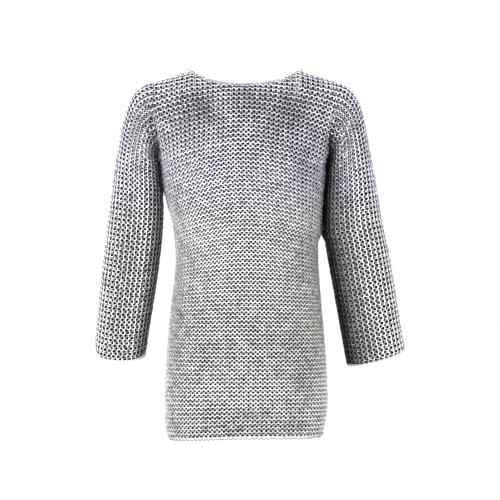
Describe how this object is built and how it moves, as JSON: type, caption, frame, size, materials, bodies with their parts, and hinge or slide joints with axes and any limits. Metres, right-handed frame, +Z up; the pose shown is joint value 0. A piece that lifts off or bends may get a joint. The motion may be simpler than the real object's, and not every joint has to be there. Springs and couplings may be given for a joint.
{
  "type": "chainmail hauberk",
  "caption": "Pull-on mail shirt of linked steel rings with three-quarter sleeves, a wide neckline and a straight hem, in its hollow worn shape.",
  "frame": {"origin": "between the two high points of the neckline, on the line where the wearer's shoulders carry the shirt", "axes": "+Z up, -Y to the front of the shirt, +X to the wearer's left"},
  "size_m": [0.683, 0.2454, 0.8029],
  "materials": {
    "steel_mail": "bright drawn steel wire rings, lightly dulled"
  },
  "bodies": {
    "root": {"body_front": "steel_mail", "body_back": "steel_mail", "sleeve_right": "steel_mail", "sleeve_left": "steel_mail"}
  },
  "joints": []
}
